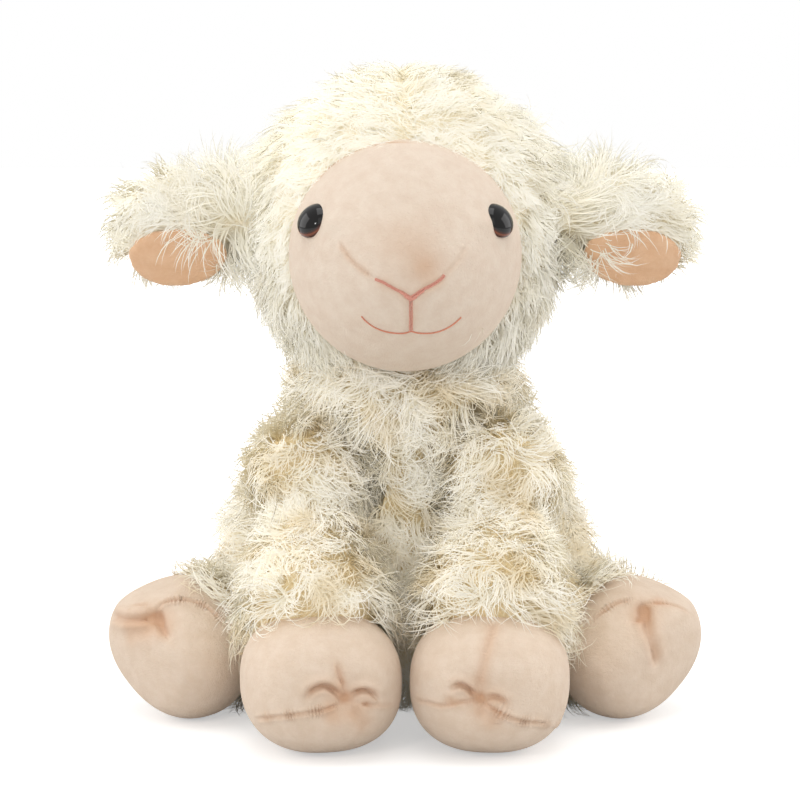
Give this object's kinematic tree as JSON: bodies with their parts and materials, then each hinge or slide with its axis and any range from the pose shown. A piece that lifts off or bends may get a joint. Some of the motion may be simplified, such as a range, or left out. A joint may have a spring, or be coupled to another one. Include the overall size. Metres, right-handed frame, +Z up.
{
  "type": "plush lamb",
  "caption": "Seated plush lamb with curly fur, smooth face, hooves and ear linings, plastic eyes, and a head, ears, legs and tail that bend and spring back.",
  "frame": {"origin": "on the floor, in the flat of the seat, midway between the hips", "axes": "+Z up, +Y towards the lamb's tail, +X to the lamb's own left; the lamb faces -Y"},
  "size_m": [0.2494, 0.2239, 0.2735],
  "materials": {
    "curly_fur": "curly long-pile plush",
    "velboa": "short-pile velboa",
    "ear_velboa": "short-pile velboa",
    "filling": "loose polyester fibre",
    "pellet_cloth": "plain woven lining",
    "eye_plastic": "polished",
    "washer_plastic": "moulded",
    "pink_thread": "satin embroidery thread"
  },
  "bodies": {
    "body": {"body_cover": "curly_fur", "body_filling": "filling", "pellet_bag": "pellet_cloth"},
    "neck": {"neck_filling": "filling"},
    "head": {"head_cover": "curly_fur", "face_panel": "velboa", "head_filling": "filling", "eye_left": "eye_plastic", "eye_right": "eye_plastic", "eye_washer_left": "washer_plastic", "eye_washer_right": "washer_plastic", "nose_stitches": "pink_thread", "lip_stitches": "pink_thread", "mouth_stitches": "pink_thread"},
    "ear_left": {"ear_outer_left": "curly_fur", "ear_lining_left": "ear_velboa"},
    "ear_right": {"ear_outer_right": "curly_fur", "ear_lining_right": "ear_velboa"},
    "front_leg_left": {"front_sleeve_left": "curly_fur", "front_hoof_left": "velboa", "front_sole_left": "velboa", "front_filling_left": "filling"},
    "front_leg_right": {"front_sleeve_right": "curly_fur", "front_hoof_right": "velboa", "front_sole_right": "velboa", "front_filling_right": "filling"},
    "hind_leg_left": {"hind_sleeve_left": "curly_fur", "hind_hoof_left": "velboa", "hind_sole_left": "velboa", "hind_filling_left": "filling"},
    "hind_leg_right": {"hind_sleeve_right": "curly_fur", "hind_hoof_right": "velboa", "hind_sole_right": "velboa", "hind_filling_right": "filling"},
    "tail": {"tail_cover": "curly_fur"}
  },
  "joints": [
    {"name": "neck_turn", "type": "hinge", "parent": "body", "child": "neck", "pos_m": [0, 0.004, 0.126], "axis": [0, 0, 1], "range_deg": [-30, 30], "stiffness_Nm_per_rad": 0.6},
    {"name": "head_nod", "type": "hinge", "parent": "neck", "child": "head", "pos_m": [0, 0.004, 0.126], "axis": [1, 0, 0], "range_deg": [-12, 10], "stiffness_Nm_per_rad": 1.2},
    {"name": "ear_flap_left", "type": "hinge", "parent": "head", "child": "ear_left", "pos_m": [0.064, -0.002, 0.205], "axis": [0, -1, 0], "range_deg": [-20, 25], "stiffness_Nm_per_rad": 0.08},
    {"name": "ear_flap_right", "type": "hinge", "parent": "head", "child": "ear_right", "pos_m": [-0.064, -0.002, 0.205], "axis": [0, 1, 0], "range_deg": [-20, 25], "stiffness_Nm_per_rad": 0.08},
    {"name": "front_leg_lift_left", "type": "hinge", "parent": "body", "child": "front_leg_left", "pos_m": [0.04, -0.028, 0.1], "axis": [-1, 0, 0], "range_deg": [0, 45], "stiffness_Nm_per_rad": 0.3},
    {"name": "front_leg_lift_right", "type": "hinge", "parent": "body", "child": "front_leg_right", "pos_m": [-0.04, -0.028, 0.1], "axis": [-1, 0, 0], "range_deg": [0, 45], "stiffness_Nm_per_rad": 0.3},
    {"name": "hind_leg_spread_left", "type": "hinge", "parent": "body", "child": "hind_leg_left", "pos_m": [0.054, 0.014, 0.0335], "axis": [0, 0, 1], "range_deg": [0, 30], "stiffness_Nm_per_rad": 0.3},
    {"name": "hind_leg_spread_right", "type": "hinge", "parent": "body", "child": "hind_leg_right", "pos_m": [-0.054, 0.014, 0.0335], "axis": [0, 0, -1], "range_deg": [0, 30], "stiffness_Nm_per_rad": 0.3},
    {"name": "tail_wag", "type": "hinge", "parent": "body", "child": "tail", "pos_m": [0, 0.071, 0.056], "axis": [1, 0, 0], "range_deg": [-5, 35], "stiffness_Nm_per_rad": 0.03}
  ]
}
